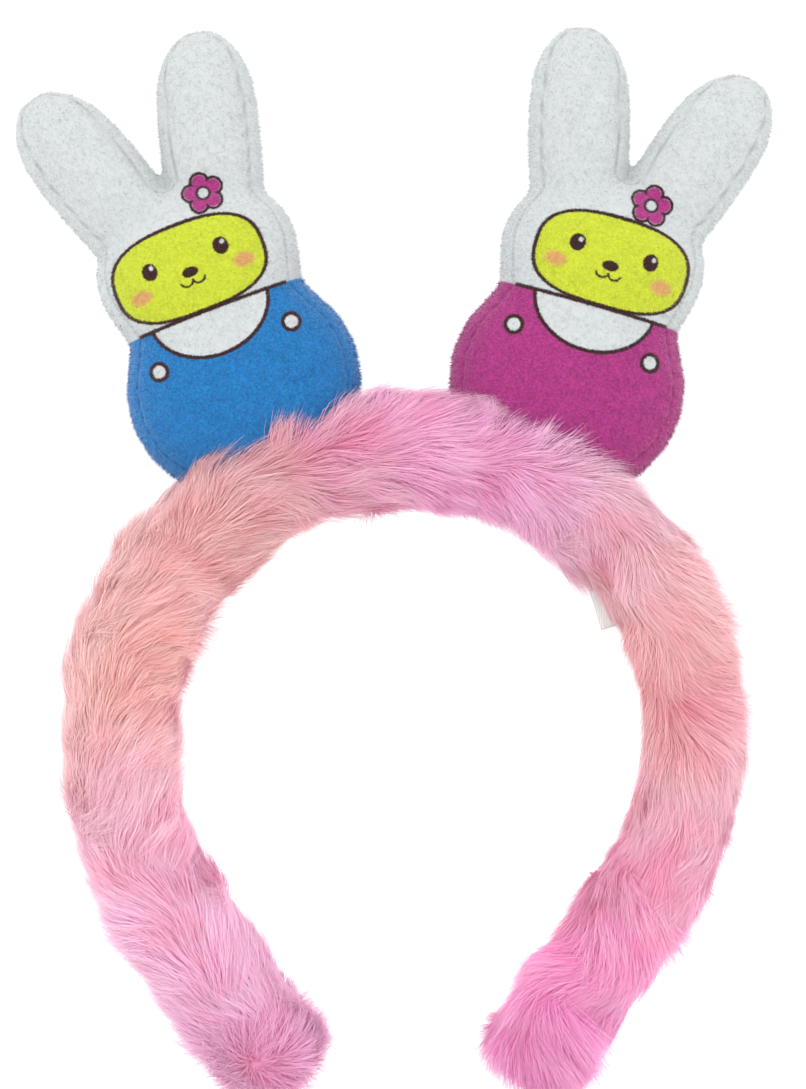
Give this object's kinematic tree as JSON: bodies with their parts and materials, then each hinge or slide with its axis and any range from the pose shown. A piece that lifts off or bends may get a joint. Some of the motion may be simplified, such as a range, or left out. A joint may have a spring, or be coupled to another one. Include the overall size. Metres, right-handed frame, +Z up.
{
  "type": "plush rabbit headband",
  "caption": "Fur covered springy headband with stuffed rabbit figures sewn on top, worn over the head.",
  "frame": {"origin": "centre of the ring that the head goes in, in the middle of the band's depth", "axes": "+Z up through the crown between the rabbits, +X to the viewer's right, the rabbits look towards -Y"},
  "size_m": [0.182, 0.034, 0.2571],
  "materials": {
    "core": "satin",
    "foam": "soft polyester wadding",
    "fur": "long pile faux fur, dyed peach to orchid pink",
    "fur_thread": "matt thread",
    "label": "satin ribbon",
    "white_thread": "matt thread",
    "blue_plush": "short pile plush, printed",
    "magenta_plush": "short pile plush, printed",
    "stuffing": "polyester fibre filling"
  },
  "bodies": {
    "crown": {"core_crown": "core", "foam_crown": "foam", "fur_sleeve_crown": "fur", "sleeve_seam_crown": "fur_thread", "care_label": "label", "care_label_stitches": "white_thread", "blue_rabbit_anchor_stitches": "white_thread", "magenta_rabbit_anchor_stitches": "white_thread"},
    "left_arm": {"core_left_arm": "core", "foam_left_arm": "foam", "fur_sleeve_left_arm": "fur", "sleeve_seam_left_arm": "fur_thread", "tip_stitches_left_arm": "fur_thread"},
    "right_arm": {"core_right_arm": "core", "foam_right_arm": "foam", "fur_sleeve_right_arm": "fur", "sleeve_seam_right_arm": "fur_thread", "tip_stitches_right_arm": "fur_thread"},
    "blue_rabbit": {"blue_rabbit_front_panel": "blue_plush", "blue_rabbit_back_panel": "blue_plush", "blue_rabbit_stuffing": "stuffing", "blue_rabbit_seam_stitches": "white_thread"},
    "magenta_rabbit": {"magenta_rabbit_front_panel": "magenta_plush", "magenta_rabbit_back_panel": "magenta_plush", "magenta_rabbit_stuffing": "stuffing", "magenta_rabbit_seam_stitches": "white_thread"}
  },
  "joints": [
    {"name": "left_arm_flex", "type": "hinge", "parent": "crown", "child": "left_arm", "pos_m": [-0.07788, 0, 0.03147], "axis": [0, 1, 0], "range_deg": [0, 18], "stiffness_Nm_per_rad": 0.8},
    {"name": "right_arm_flex", "type": "hinge", "parent": "crown", "child": "right_arm", "pos_m": [0.07788, 0, 0.03147], "axis": [0, -1, 0], "range_deg": [0, 18], "stiffness_Nm_per_rad": 0.8},
    {"name": "blue_rabbit_tilt", "type": "hinge", "parent": "crown", "child": "blue_rabbit", "pos_m": [-0.03285, 0, 0.06854], "axis": [0.9336, 0, 0.3584], "range_deg": [-12, 12], "stiffness_Nm_per_rad": 0.1},
    {"name": "magenta_rabbit_tilt", "type": "hinge", "parent": "crown", "child": "magenta_rabbit", "pos_m": [0.03302, 0, 0.06848], "axis": [0.9613, 0, -0.2756], "range_deg": [-12, 12], "stiffness_Nm_per_rad": 0.1}
  ]
}
